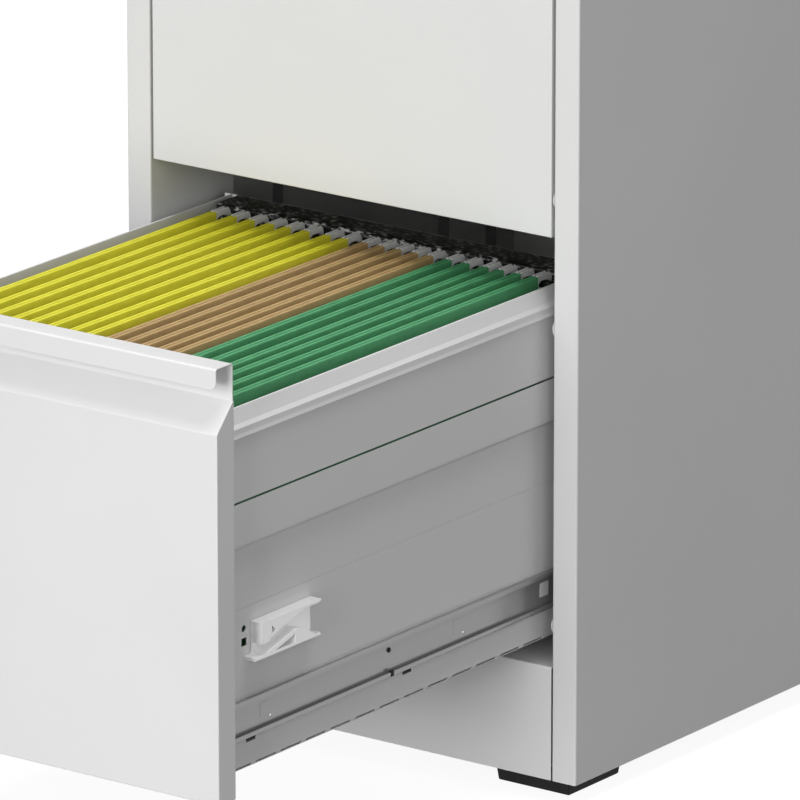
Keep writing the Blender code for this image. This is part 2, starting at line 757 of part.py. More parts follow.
def make_cam(label, drawer):
    """Moulded interlock cam: a flanged plate with a slanting track for the locking bar's pin."""
    front = CAM_FRONT
    rear = CAM_FRONT + CAM_LENGTH
    low = CAM_LOW
    high = CAM_LOW + CAM_HEIGHT
    nose = front + CAM_FLARE
    flare = [(nose, low + CAM_BLOCK), (nose, low + CAM_FLANGE), (front, low + CAM_FLANGE)]
    outline = [(front, low), (rear, low), (rear - CAM_FLANGE, low + CAM_FLANGE)]
    outline += [(rear - CAM_FLANGE, high - CAM_FLANGE), (rear, high - CAM_FLANGE / 3), (rear, high)]
    outline += [(nose, high)]
    outline += rounded(flare, CAM_FLARE, 4)
    cam = flat_outline(f"interlock_cam_{label}", outline, "YZ", (CAM_X, CAM_FACE), drawer, WHITE_PLASTIC)

    track_low = low + CAM_FLANGE
    track_high = high - CAM_FLANGE
    block_low = high - CAM_BLOCK_HEIGHT
    block_rear = nose + CAM_BLOCK
    peak = (front + 0.62 * CAM_LENGTH, low + CAM_PEAK)
    beyond = rear + CAM_FLANGE
    track = [
        (front - CAM_FLANGE, track_low),
        (front + 0.13 * CAM_LENGTH, track_low),
        peak,
        (peak[0] + 0.12 * CAM_LENGTH, low + 0.8 * CAM_PEAK),
        (rear - 0.08 * CAM_LENGTH, track_low),
        (beyond, track_low),
        (beyond, track_high),
        (front + 0.73 * CAM_LENGTH, track_high),
        (block_rear, block_low + CAM_FLANGE),
        (block_rear, block_low),
        (front - CAM_FLANGE, block_low),
    ]
    floor = CAM_X + CAM_PLATE
    past = CAM_FACE + CAM_PLATE
    track_tool = flat_outline(f"cam_track_{label}", track, "YZ", (floor, past), drawer, WHITE_PLASTIC)
    web = peak[0] - CAM_RIB / 2
    pocket = [
        (front + 0.3 * CAM_LENGTH, track_low),
        (web, track_low),
        (web, peak[1] - 1.4 * CAM_RIB),
    ]
    pocket_tool = flat_outline(f"cam_pocket_{label}", pocket, "YZ", (floor, past), drawer, WHITE_PLASTIC)
    notch_low = block_low + 2 * CAM_RIB
    notch = [
        (block_rear + CAM_RIB / 2, notch_low),
        (block_rear + 2.5 * CAM_RIB, notch_low + CAM_RIB),
        (block_rear + CAM_RIB / 2, track_high - CAM_RIB),
    ]
    notch_tool = flat_outline(f"cam_notch_{label}", notch, "YZ", (floor, past), drawer, WHITE_PLASTIC)
    cut(cam, track_tool, pocket_tool, notch_tool)


def make_lock(cabinet):
    """Barrel in the header with a turning plug, and the lever on the plug's tail."""
    barrel = rod(
        "lock_housing",
        (LOCK_X, -LOCK_BEZEL_DEPTH / 2, LOCK_Z),
        (LOCK_X, LOCK_LENGTH, LOCK_Z),
        LOCK_BARREL,
        cabinet,
        CHROME,
    )
    bezel = rod(
        "lock_bezel",
        (LOCK_X, -LOCK_BEZEL_DEPTH, LOCK_Z),
        (LOCK_X, -FIT, LOCK_Z),
        LOCK_BEZEL,
        cabinet,
        CHROME,
    )
    bore = rod(
        "lock_bore",
        (LOCK_X, -2 * LOCK_BEZEL_DEPTH, LOCK_Z),
        (LOCK_X, LOCK_LENGTH + LOCK_BEZEL_DEPTH, LOCK_Z),
        PLUG_RADIUS + PLUG_GAP,
        cabinet,
        CHROME,
    )
    join(barrel, bezel)
    cut(barrel, bore)
    axis = new_empty("lock_axis", (LOCK_X, 0, LOCK_Z), cabinet)
    plug = rod("lock_plug", (0, -LOCK_BEZEL_DEPTH, 0), (0, LEVER_Y - FIT, 0), PLUG_RADIUS, axis, CHROME)
    keyway_low = (-KEYWAY_WIDTH / 2, -2 * LOCK_BEZEL_DEPTH, -KEYWAY_HEIGHT / 2)
    keyway_high = (KEYWAY_WIDTH / 2, KEYWAY_DEPTH - LOCK_BEZEL_DEPTH, KEYWAY_HEIGHT / 2)
    cut(plug, block("keyway", keyway_low, keyway_high, axis, CHROME))
    make_lever(axis)


def make_lever(axis):
    """Lever with a crank pin that runs in the locking bar's slot."""
    crank = Vector((LEVER_ARM * math.cos(LEVER_ANGLE), -LEVER_ARM * math.sin(LEVER_ANGLE)))
    way = crank.normalized()
    outline = []
    for centre, radius, turn in ((Vector((0, 0)), PLUG_RADIUS, 1), (crank, 2 * CRANK_RADIUS, -1)):
        for step in range(2 * ARC_STEPS + 1):
            angle = turn * math.pi / 2 + math.pi * step / (2 * ARC_STEPS)
            outline.append(tuple(centre + Matrix.Rotation(angle, 2) @ way * radius))
    rear = LEVER_Y + LEVER_THICKNESS
    lever = flat_outline("lock_lever", outline, "XZ", (LEVER_Y, rear), axis, ZINC)
    pin_start = (crank.x, LEVER_Y + LEVER_THICKNESS / 2, crank.y)
    pin_end = (crank.x, HORN_Y + HORN_THICKNESS + HORN_GAP, crank.y)
    join(lever, rod("crank_pin", pin_start, pin_end, CRANK_RADIUS, axis, ZINC))


def make_locking_bar(cabinet):
    """Bar behind the right stile, with a pin for each drawer and a slotted horn at the lock."""
    bar_front = BAR_Y - BAR_WIDTH / 2
    bar_rear = BAR_Y + BAR_WIDTH / 2
    outer = BAR_X + BAR_THICKNESS
    horn_low = CRANK_Z - HORN_HEIGHT
    horn_high = CRANK_Z + HORN_HEIGHT
    profile = [
        (bar_front, FIRST_FRONT + BAR_FOOT),
        (bar_rear, FIRST_FRONT + BAR_FOOT),
        (bar_rear, horn_high),
        (HORN_Y, horn_high),
        (HORN_Y, horn_low),
        (bar_front, horn_low),
    ]
    bar = flat_outline("lock_bar", profile, "YZ", (BAR_X, outer), cabinet, ZINC)
    horn_low_corner = (CRANK_X - 3 * CRANK_RADIUS, HORN_Y, horn_low)
    horn_high_corner = (outer, HORN_Y + HORN_THICKNESS, horn_high)
    horn = block("bar_horn", horn_low_corner, horn_high_corner, cabinet, ZINC)
    sway = LEVER_ARM * (1 - math.cos(LEVER_ANGLE))
    reach = CRANK_RADIUS + CRANK_PLAY
    slot_low = (CRANK_X - reach, HORN_Y - SHEET, CRANK_Z - reach)
    slot_high = (CRANK_X + sway + reach, HORN_Y + HORN_THICKNESS + SHEET, CRANK_Z + reach)
    join(bar, horn)
    for number, label in enumerate(DRAWERS):
        level = FIRST_FRONT + number * PITCH + PIN_LEVEL
        start = (CAM_FACE + BAR_PIN_GAP, BAR_Y, level)
        end = (BAR_X + BAR_THICKNESS / 2, BAR_Y, level)
        join(bar, rod(f"bar_pin_{label}", start, end, BAR_PIN_RADIUS, cabinet, ZINC))
    cut(bar, block("bar_slot", slot_low, slot_high, cabinet, ZINC))


def make_bar_guide(label, level, cabinet):
    """Plastic guide on the side panel that the locking bar slides through."""
    low = (BAR_X - FIT - GUIDE_SKIN, BAR_Y - BAR_WIDTH / 2 - GUIDE_WALL, level)
    high = (HALF_WIDTH - SHEET - FIT, BAR_Y + BAR_WIDTH / 2 + GUIDE_WALL, level + GUIDE_HEIGHT)
    guide = block(f"bar_guide_{label}", low, high, cabinet, WHITE_PLASTIC)
    way_low = (BAR_X - FIT, BAR_Y - BAR_WIDTH / 2 - FIT, level - FIT)
    way_high = (
        BAR_X + BAR_THICKNESS + FIT,
        BAR_Y + BAR_WIDTH / 2 + FIT,
        level + GUIDE_HEIGHT + FIT,
    )
    cut(guide, block(f"guide_way_{label}", way_low, way_high, cabinet, WHITE_PLASTIC))


def make_carcass(cabinet):
    make_back_panel(cabinet)
    make_top_panel(cabinet)
    make_base(cabinet)
    for side in (-1, 1):
        make_side_panel(side, cabinet)
        for end in ("front", "rear"):
            make_foot(side, end, cabinet)
            make_upright(side, end, cabinet)


def make_drawer(number, label, cabinet):
    """One drawer with its slides: the fixed members, the middle ones and those on the drawer."""
    opening = FIRST_OPENING if number == 0 else 0
    level = FIRST_FRONT + number * PITCH
    drawer = new_empty(f"drawer_origin_{label}", (0, -opening, level), cabinet)
    runner_place = (0, -opening * MID_RATIO, level + SLIDE_HEIGHT)
    runner = new_empty(f"runner_origin_{label}", runner_place, cabinet)
    make_drawer_front(label, drawer)
    make_tray(label, drawer)
    make_cam(label, drawer)
    for end in ("front", "rear"):
        make_hang_rail(label, end, drawer)
    for side in (-1, 1):
        make_side_extension(label, side, drawer)
        make_slide_inner(label, side, drawer)
        make_slide_mid(label, side, runner)
        make_slide_outer(label, side, level + SLIDE_HEIGHT, cabinet)


def main():
    """The origin is on the floor, in the middle of the cabinet with its lowest drawer out."""
    front_plane = (FIRST_OPENING - CABINET_DEPTH) / 2
    cabinet = new_empty("cabinet_origin", (0, front_plane, 0))
    make_carcass(cabinet)
    make_lock(cabinet)
    make_locking_bar(cabinet)
    for label, number in (("bottom", 0), ("top", len(DRAWERS) - 1)):
        make_bar_guide(label, FIRST_FRONT + number * PITCH + GUIDE_LEVEL, cabinet)
    for number, label in enumerate(DRAWERS):
        make_drawer(number, label, cabinet)


clear_scene()
PARTS = new_collection("vertical_filing_cabinet")
CUTTERS = new_collection("cutters")
PAINT = new_material("light_grey_paint", (0.80, 0.80, 0.80), 0.45, 0.0)
ZINC = new_material("zinc_plated_steel", (0.55, 0.55, 0.56), 0.35, 1.0)
BLACK_PAINT = new_material("black_paint", (0.02, 0.02, 0.02), 0.4, 0.0)
BLACK_PLASTIC = new_material("black_plastic", (0.02, 0.02, 0.02), 0.6, 0.0)
WHITE_PLASTIC = new_material("white_plastic", (0.85, 0.85, 0.84), 0.4, 0.0)
CHROME = new_material("bright_chrome", (0.80, 0.80, 0.82), 0.12, 1.0)
main()
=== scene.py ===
"""Looks of the vertical filing cabinet: finishes, fine cut-outs, hanging files, light and camera.

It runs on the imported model. Lengths are metres, +Z is up and the front is at -Y.
"""

import json
import math

import bmesh
import bpy
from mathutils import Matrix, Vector

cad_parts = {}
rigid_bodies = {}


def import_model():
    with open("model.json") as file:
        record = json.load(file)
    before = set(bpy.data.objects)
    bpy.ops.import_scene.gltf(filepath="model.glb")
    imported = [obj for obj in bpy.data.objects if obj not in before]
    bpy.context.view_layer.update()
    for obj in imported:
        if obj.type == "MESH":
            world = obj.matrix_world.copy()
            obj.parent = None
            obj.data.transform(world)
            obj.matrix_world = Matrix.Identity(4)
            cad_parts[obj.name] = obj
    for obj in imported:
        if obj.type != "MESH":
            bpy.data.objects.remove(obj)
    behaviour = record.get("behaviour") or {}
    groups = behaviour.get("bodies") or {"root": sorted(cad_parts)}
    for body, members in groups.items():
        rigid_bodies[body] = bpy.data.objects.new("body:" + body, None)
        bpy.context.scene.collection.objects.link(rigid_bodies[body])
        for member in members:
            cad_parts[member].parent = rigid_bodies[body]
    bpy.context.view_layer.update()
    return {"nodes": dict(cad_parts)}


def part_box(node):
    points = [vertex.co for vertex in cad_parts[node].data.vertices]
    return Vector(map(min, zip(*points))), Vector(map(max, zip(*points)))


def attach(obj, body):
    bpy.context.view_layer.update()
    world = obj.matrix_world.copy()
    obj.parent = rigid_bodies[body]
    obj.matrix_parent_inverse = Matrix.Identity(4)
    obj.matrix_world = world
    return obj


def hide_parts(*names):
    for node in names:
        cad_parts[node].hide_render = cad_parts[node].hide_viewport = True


MM = 0.001
DRAWERS = ("bottom", "middle", "top")
SIDES = {"left": -1, "right": 1}

# Edge rounding of the sheet metal and the mouldings
EDGE_ROUND = 0.25 * MM
EDGE_SEGMENTS = 2
SHARP_ANGLE = math.radians(35)
RIM_ANGLE = math.radians(8)
FLAT_ANGLE = math.radians(1)
MERGE_DISTANCE = 0.001 * MM

# How finely round stretches are divided: steps of an arc, points of a full circle
CORNER_STEPS = 4
SLEEVE_STEPS = 8
SLIT_STEPS = 12
BUFFER_STEPS = 14
DOME_POINTS = 16
HOLE_POINTS = 24

# Fine cut-outs of a tray, in the drawer's own place: y from the front's face, z from its low edge
WALL_SHEET = 0.8 * MM
WALL_GAP = 0.3 * MM
SLOT_LENGTH = 10.6 * MM
SLOT_HEIGHT = 2.6 * MM
SLOT_RISE = 31.0 * MM
SLOT_PLACES = (50.0 * MM, 223.5 * MM)
PIN_HOLE_RADIUS = 2.4 * MM
PIN_HOLE_PLACE = (42.9 * MM, 108.7 * MM)
SQUARE_HOLE = 5.8 * MM
SQUARE_HOLE_PLACE = (43.0 * MM, 99.5 * MM)
SLIT_LENGTH = 21.8 * MM
SLIT_PITCH = 27.46 * MM
SLIT_COUNT = 13
SLIT_FIRST_END = 49.9 * MM
SLIT_RISE = 13.85 * MM
SLIT_DEPTH = 3.2 * MM
SLIT_HEIGHT = 1.6 * MM
SLIT_END_RADIUS = 1.0 * MM

# Crease in each wall of a tray, and the groove just above the slide
LINE_MIDDLE = 222.5 * MM
LINE_LENGTH = 390 * MM
CREASE_RISE = 123.5 * MM
CREASE_WIDTH = 0.6 * MM
CREASE_DEPTH = 0.3 * MM
GROOVE_WIDTH = 1.1 * MM
GROOVE_DEPTH = 0.5 * MM

# Pressed squares, rivets and stops on the drawer members of the slides
SLIDE_WEB = 1.0 * MM
PAD_SIZE = 10 * MM
PAD_PROUD = 0.2 * MM
PAD_SUNK = 0.1 * MM
PAD_ROUND = 1.0 * MM
PAD_RISE = 48.7 * MM
PAD_PLACES = (63.2 * MM, 279.1 * MM, 379.2 * MM)
RIVET_RADIUS = 0.9 * MM
RIVET_PROUD = 0.5 * MM
RIVET_SUNK = 0.05 * MM
STOP_PLACE = 200.7 * MM
STOP_RISE = 52.5 * MM
STOP_RADIUS = 1.8 * MM
STOP_PROUD = 1.5 * MM
STOP_SUNK = 0.5 * MM
STOP_BLOCK = (1.5 * MM, 3.6 * MM, 4.2 * MM)
BLOCK_LIFT = 0.3 * MM
BLOCK_INSET = 0.05 * MM
PRESSED_EDGE = 0.1 * MM
STOP_EDGE = 0.15 * MM

# Section of a low dome: shares of its radius and of its height, from the foot up
DOME_SECTION = ((1.0, 0.0), (1.0, 0.35), (0.8, 0.72), (0.45, 0.95))

# Buffers on the right stile, beside each drawer front
BUFFER_HEIGHT = 9 * MM
BUFFER_PROUD = 0.95 * MM
BUFFER_LENGTH = 8 * MM
BUFFER_INSET = 0.2 * MM
BUFFER_EDGE = 0.2 * MM
BUFFER_RISES = (26.7 * MM, 236.4 * MM)

# Hanging files in the open drawer: their places across it in millimetres, then the folded cards
FILE_PLACES = {
    "yellow": (-136.3, -118.8, -103.4, -86.6, -72.2, -56.1, -38.1, -23.5),
    "tan": (-6.6, 7.6, 21.8, 35.9, 48.6),
    "green": (64.2, 79.2, 95.1, 107.8, 122.0, 136.2),
}
FILE_TOP = 261.5 * MM
FILE_BOTTOM = 23.5 * MM
FILE_START = 47.2 * MM
FILE_END = 398 * MM
CARD = 0.45 * MM
SLEEVE_OFFSET = 1.75 * MM
SLEEVE_RADIUS = 0.85 * MM
SLEEVE_HEIGHT = 9.5 * MM
FLAP_SPACING = 1.2 * CARD
FLAP_LENGTH = 5 * MM
PRESS_LENGTH = 2 * MM
PRESS_STEP = 0.1 * MM
LEAF_CLOSING = 0.75
FOLD_RADIUS = 0.6 * MM

# Hooked bars of the files
BAR_THICKNESS = 1.1 * MM
BAR_OFFSET = 1.75 * MM
BAR_PLAY = 0.5 * MM
BAR_SHOULDER = 0.4 * MM
BAR_LIFT = 0.4 * MM
BAR_OVERLAP = 2 * MM
BAR_EDGE = 0.12 * MM
HOOK_RISE = 0.25 * MM
HOOK_REACH = 16.9 * MM
HOOK_LENGTH = 10 * MM
HOOK_FINGER = 4.1 * MM
HOOK_NOTCH = 4.2 * MM
HOOK_CORNER = 0.6 * MM
HOOK_THROAT = 1.2 * MM
HOOK_ROOT = 1.6 * MM
HOOK_FILLET = 2.0 * MM

# Slope at a hook's outer corner: its start from the tip, its bend from tip and top, its end from the top
HOOK_SLOPE_START = 2.7 * MM
HOOK_SLOPE_BEND = (0.8 * MM, 1.89 * MM)
HOOK_SLOPE_END = 4.32 * MM

# Light: a large lamp in front, weaker ones overhead and on the right, and a low one in front
LAMP_AIM = Vector((0, -0.1, 0.4))
KEY_PLACE = Vector((0.05, -5.87, 1.63))
KEY_SIZE = 3.0
KEY_POWER = 213
OVERHEAD_PLACE = Vector((0.35, 0.0, 4.85))
OVERHEAD_SIZE = 2.5
OVERHEAD_POWER = 146
SIDE_PLACE = Vector((3.6, -3.1, 2.1))
SIDE_SIZE = 3.0
SIDE_POWER = 53
FILL_PLACE = Vector((0.8, -5.0, 0.45))
FILL_SIZE = 0.9
FILL_POWER = 40
SKY_LEVEL = 0.16

# Floor: how it lights the object, and how it looks itself
FLOOR_SIZE = 80
FLOOR_BOUNCE = 0.14
FLOOR_TONE = 0.9
FLOOR_GLOW = 1.15
SHADOW_SHARE = 0.2

# Camera at the photograph's viewing angle
CAMERA_PLACE = Vector((4.02519, -5.48971, 2.30538))
CAMERA_AZIMUTH = math.radians(36.179)
CAMERA_ELEVATION = math.radians(16.836)
CAMERA_LENS = 465.38
CAMERA_SENSOR = 36.0
CAMERA_SIGHT = 100

for leftover in list(bpy.data.objects):
    bpy.data.objects.remove(leftover)
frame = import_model()
nodes = frame["nodes"]


def grey(value):
    """Neutral colour of one level."""
    return (value, value, value)


def noise_value(tree, scale, stretch, detail):
    """Noise in the object's own coordinates.

    A small stretch factor draws the grain out along that axis.
    """
    place = tree.nodes.new("ShaderNodeTexCoord")
    mapping = tree.nodes.new("ShaderNodeMapping")
    mapping.inputs["Scale"].default_value = stretch
    texture = tree.nodes.new("ShaderNodeTexNoise")
    texture.inputs["Scale"].default_value = scale
    texture.inputs["Detail"].default_value = detail
    tree.links.new(place.outputs["Object"], mapping.inputs["Vector"])
    tree.links.new(mapping.outputs["Vector"], texture.inputs["Vector"])
    return texture.outputs["Fac"]


def shader_of(material):
    """The main shader of a finish."""
    return material.node_tree.nodes["Principled BSDF"]


def make_finish(
    name,
    dark,
    light,
    roughness,
    mottle=6.0,
    grain=900.0,
    relief=0.02 * MM,
    stretch=(1, 1, 1),
    metallic=0.0,
    spread=(0.35, 0.65),
    detail=3.0,
):
    """Procedural finish: mottled colour between two tones, uneven gloss and a fine relief."""
    material = bpy.data.materials.new(name)
    material.use_nodes = True
    tree = material.node_tree
    shader = shader_of(material)
    shader.inputs["Metallic"].default_value = metallic
    tone = tree.nodes.new("ShaderNodeValToRGB")
    low, high = tone.color_ramp.elements
    low.position, high.position = spread
    low.color = (*dark, 1)
    high.color = (*light, 1)
    tree.links.new(noise_value(tree, mottle, stretch, detail), tone.inputs["Fac"])
    tree.links.new(tone.outputs["Color"], shader.inputs["Base Color"])
    height = noise_value(tree, grain, stretch, detail)
    gloss = tree.nodes.new("ShaderNodeMapRange")
    gloss.inputs["To Min"].default_value = roughness[0]
    gloss.inputs["To Max"].default_value = roughness[1]
    tree.links.new(height, gloss.inputs["Value"])
    tree.links.new(gloss.outputs["Result"], shader.inputs["Roughness"])
    bump = tree.nodes.new("ShaderNodeBump")
    bump.inputs["Strength"].default_value = 1.0
    bump.inputs["Distance"].default_value = relief
    tree.links.new(height, bump.inputs["Height"])
    tree.links.new(bump.outputs["Normal"], shader.inputs["Normal"])
    return material


# Finishes of the record's material slots
ALONG_X = (0.5, 1, 1)
ALONG_Y = (1, 0.02, 1)
FINISHES = {
    "body_paint": make_finish("cabinet_powder_coat", grey(0.69), grey(0.71), (0.48, 0.58)),
    "drawer_paint": make_finish("drawer_powder_coat", grey(0.7), grey(0.72), (0.46, 0.56)),
    "zinc_steel": make_finish(
        "zinc_plate", grey(0.33), grey(0.35), (0.22, 0.28), mottle=90, grain=2600, stretch=ALONG_Y,
        relief=0.0006 * MM, metallic=0.42,
    ),
    # Black crinkle paint on the rail. The black is its own colour, but the grey flecks mixed into it are
    # painted glints that stand in for light caught by the crinkles.
    "rail_black": make_finish(
        "black_crinkle_paint_with_painted_glints", grey(0.004), grey(0.45), (0.25, 0.5), mottle=420, grain=420,
        stretch=ALONG_X, relief=0.12 * MM, spread=(0.53, 0.68), detail=5,
    ),
    "foot_plastic": make_finish(
        "black_moulded_plastic", grey(0.008), grey(0.014), (0.65, 0.8), mottle=60, grain=1400
    ),
    "white_plastic": make_finish(
        "white_moulded_plastic", grey(0.94), grey(0.96), (0.28, 0.36), mottle=30, grain=500,
        relief=0.008 * MM,
    ),
    "lock_chrome": make_finish(
        "bright_chrome", grey(0.74), grey(0.8), (0.08, 0.16), mottle=120, grain=900,
        relief=0.002 * MM, metallic=1.0,
    ),
}
glossy_white = shader_of(FINISHES["white_plastic"])
glossy_white.inputs["Coat Weight"].default_value = 1.0
glossy_white.inputs["Coat IOR"].default_value = 2.3
glossy_white.inputs["Coat Roughness"].default_value = 0.2
dull_black = shader_of(FINISHES["foot_plastic"])
dull_black.inputs["Specular IOR Level"].default_value = 0.25

# Finishes of the hanging files: darker and lighter tone of each card, and the hooks' steel
CARD_TONES = {
    "yellow": ((0.75, 0.71, 0.036), (0.82, 0.78, 0.046)),
    "tan": ((0.49, 0.33, 0.145), (0.56, 0.385, 0.17)),
    "green": ((0.076, 0.32, 0.138), (0.094, 0.38, 0.166)),
}
CARD_FINISHES = {}
for color, (dark_tone, light_tone) in CARD_TONES.items():
    CARD_FINISHES[color] = make_finish(
        f"{color}_card", dark_tone, light_tone, (0.55, 0.7), mottle=260, grain=1700,
        stretch=(1, 0.3, 1), relief=0.03 * MM,
    )
    shader_of(CARD_FINISHES[color]).inputs["Specular IOR Level"].default_value = 0.9
HOOK_FINISH = make_finish(
    "grained_hook_steel", grey(0.78), grey(0.9), (0.3, 0.45), mottle=900, grain=1600,
    stretch=(1, 0.25, 1), relief=0.03 * MM,
)


def make_joining_group():
    """Geometry nodes that join the imported triangles and drop their stored normals."""
    group = bpy.data.node_groups.new("join_imported_faces", "GeometryNodeTree")
    group.interface.new_socket("Geometry", in_out="INPUT", socket_type="NodeSocketGeometry")
    group.interface.new_socket("Geometry", in_out="OUTPUT", socket_type="NodeSocketGeometry")
    source = group.nodes.new("NodeGroupInput")
    forget = group.nodes.new("GeometryNodeRemoveAttribute")
    forget.inputs["Name"].default_value = "custom_normal"
    join = group.nodes.new("GeometryNodeMergeByDistance")
    join.inputs["Distance"].default_value = MERGE_DISTANCE
    smooth = group.nodes.new("GeometryNodeSetShadeSmooth")
    result = group.nodes.new("NodeGroupOutput")
    group.links.new(source.outputs[0], forget.inputs["Geometry"])
    group.links.new(forget.outputs["Geometry"], join.inputs["Geometry"])
    group.links.new(join.outputs["Geometry"], smooth.inputs["Geometry"])
    group.links.new(smooth.outputs["Geometry"], result.inputs[0])
    return group


JOINING = make_joining_group()


def round_edges(obj, width=EDGE_ROUND, angle=SHARP_ANGLE):
    """Joins the faces into flat panels, rounds the sharp edges and shades the rest smooth."""
    join = obj.modifiers.new("join", "NODES")
    join.node_group = JOINING
    panels = obj.modifiers.new("panels", "DECIMATE")
    panels.decimate_type = "DISSOLVE"
    panels.angle_limit = FLAT_ANGLE
    edges = obj.modifiers.new("edges", "BEVEL")
    edges.width = width
    edges.segments = EDGE_SEGMENTS
    edges.limit_method = "ANGLE"
    edges.angle_limit = angle
    shading = obj.modifiers.new("shading", "WEIGHTED_NORMAL")
    shading.keep_sharp = True


def object_from(name, work):
    """Makes an object from a bmesh and frees the bmesh."""
    bmesh.ops.recalc_face_normals(work, faces=work.faces)
    mesh = bpy.data.meshes.new(name)
    work.to_mesh(mesh)
    work.free()
    obj = bpy.data.objects.new(name, mesh)
    bpy.context.scene.collection.objects.link(obj)
    return obj


def add_piece(name, work, slot, body, rounding):
    """Makes a piece of one finish that moves with a body."""
    piece = object_from(name, work)
    piece.data.materials.append(FINISHES[slot])
    round_edges(piece, rounding)
    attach(piece, body)


def rectangle(centre, width, height):
    """Corners of a rectangle, anticlockwise."""
    a, b = centre
    half_a, half_b = width / 2, height / 2
    return [
        (a - half_a, b - half_b),
        (a + half_a, b - half_b),
        (a + half_a, b + half_b),
        (a - half_a, b + half_b),
    ]


def arc(centre, radius, start, end, steps):
    """Points on a circle from one angle to another, both in degrees."""
    points = []
    for i in range(steps + 1):
        angle = math.radians(start + (end - start) * i / steps)
        points.append((centre[0] + radius * math.cos(angle), centre[1] + radius * math.sin(angle)))
    return points


def circle(centre, radius, count):
    """Evenly spaced points on a full circle."""
    return arc(centre, radius, 0, 360 - 360 / count, count - 1)


def rounded_square(centre, size, radius):
    """Square outline with round corners."""
    reach = size / 2 - radius
    corners = ((1, 1, 0), (-1, 1, 90), (-1, -1, 180), (1, -1, 270))
    points = []
    for a, b, start in corners:
        corner = (centre[0] + a * reach, centre[1] + b * reach)
        points += arc(corner, radius, start, start + 90, CORNER_STEPS)
    return points


def thicken(path, thickness):
    """Closed outline of a sheet of even thickness along a path."""
    left, right = [], []
    for i, point in enumerate(path):
        before = Vector(path[max(i - 1, 0)])
        after = Vector(path[min(i + 1, len(path) - 1)])
        along = (after - before).normalized()
        across = Vector((-along.y, along.x)) * thickness / 2
        left.append(tuple(Vector(point) + across))
        right.append(tuple(Vector(point) - across))
    return left + right[::-1]


def add_prism(work, outline, start, end, place):
    """Adds a closed prism to a bmesh. place turns outline point (a, b) and depth t into a position."""
    first = [work.verts.new(place(a, b, start)) for a, b in outline]
    last = [work.verts.new(place(a, b, end)) for a, b in outline]
    work.faces.new(first)
    work.faces.new(reversed(last))
    for i in range(len(outline)):
        j = (i + 1) % len(outline)
        work.faces.new((first[i], last[i], last[j], first[j]))


def add_dome(work, centre, radius, proud, way):
    """Adds a closed low dome whose flat back is at centre and which bulges towards way along X."""
    rings = []
    for share, rise in DOME_SECTION:
        ring = []
        for y, z in circle((centre.y, centre.z), radius * share, DOME_POINTS):
            ring.append(work.verts.new((centre.x + way * proud * rise, y, z)))
        rings.append(ring)
    for low, high in zip(rings, rings[1:]):
        for i in range(DOME_POINTS):
            j = (i + 1) % DOME_POINTS
            work.faces.new((low[i], low[j], high[j], high[i]))
    work.faces.new(rings[0][::-1])
    work.faces.new(rings[-1])


def drawer_origin(label):
    """Where y and z start in a drawer's own place: its front's face and low edge."""
    low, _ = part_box(f"drawer_front_{label}")
    return Vector((0, low.y, low.z))


def beside(origin, side):
    """Place function for prisms across a drawer, at a distance from its middle to one side."""
    return lambda y, z, distance: (side * distance, origin.y + y, origin.z + z)


def slit_outline(number):
    """One slit with a round end, in the bend between a tray's wall and its floor."""
    end = SLIT_FIRST_END + number * SLIT_PITCH
    half = SLIT_HEIGHT / 2
    turn = math.degrees(math.asin(half / SLIT_END_RADIUS))
    outline = [(end - SLIT_LENGTH, SLIT_RISE + half), (end - SLIT_LENGTH, SLIT_RISE - half)]
    return outline + arc((end, SLIT_RISE), SLIT_END_RADIUS, turn - 180, 180 - turn, SLIT_STEPS)


def make_tray_cutter(label):
    """Solid to cut from a tray: slots, lines and slits of both walls, and two holes of the right one."""
    origin = drawer_origin(label)
    slide_low, slide_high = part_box(f"slide_inner_{label}_right")
    wall = slide_low.x - WALL_GAP
    inner = wall - 2 * WALL_SHEET
    outer = wall + WALL_SHEET
    groove_rise = slide_high.z - origin.z + GROOVE_WIDTH / 2
    work = bmesh.new()
    for side_name, side in SIDES.items():
        place = beside(origin, side)
        for y in SLOT_PLACES:
            add_prism(work, rectangle((y, SLOT_RISE), SLOT_LENGTH, SLOT_HEIGHT), inner, outer, place)
        crease = rectangle((LINE_MIDDLE, CREASE_RISE), LINE_LENGTH, CREASE_WIDTH)
        add_prism(work, crease, wall - CREASE_DEPTH, outer, place)
        groove = rectangle((LINE_MIDDLE, groove_rise), LINE_LENGTH, GROOVE_WIDTH)
        add_prism(work, groove, wall - GROOVE_DEPTH, outer, place)
        for number in range(SLIT_COUNT):
            add_prism(work, slit_outline(number), wall - SLIT_DEPTH, outer, place)
        if side_name == "right":
            pin_hole = circle(PIN_HOLE_PLACE, PIN_HOLE_RADIUS, HOLE_POINTS)
            add_prism(work, pin_hole, inner, outer, place)
            square = rectangle(SQUARE_HOLE_PLACE, SQUARE_HOLE, SQUARE_HOLE)
            add_prism(work, square, inner, outer, place)
    return object_from(f"tray_cutter_{label}", work)


def make_tray(label):
    """Copy of a tray with the fine cut-outs of its walls."""
    source = f"drawer_tray_{label}"
    work = bmesh.new()
    work.from_mesh(nodes[source].data)
    bmesh.ops.remove_doubles(work, verts=work.verts, dist=MERGE_DISTANCE)
    tray = object_from(f"{source}_cut", work)
    if "custom_normal" in tray.data.attributes:
        tray.data.attributes.remove(tray.data.attributes["custom_normal"])
    cutter = make_tray_cutter(label)
    cut = tray.modifiers.new("cut", "BOOLEAN")
    cut.operation = "DIFFERENCE"
    cut.solver = "EXACT"
    cut.object = cutter
    graph = bpy.context.evaluated_depsgraph_get()
    result = bpy.data.meshes.new_from_object(tray.evaluated_get(graph))
    tray.modifiers.clear()
    tray.data = result
    bpy.data.objects.remove(cutter)
    result.materials.clear()
    result.materials.append(FINISHES["drawer_paint"])
    round_edges(tray)
    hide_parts(source)
    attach(tray, f"drawer_{label}")


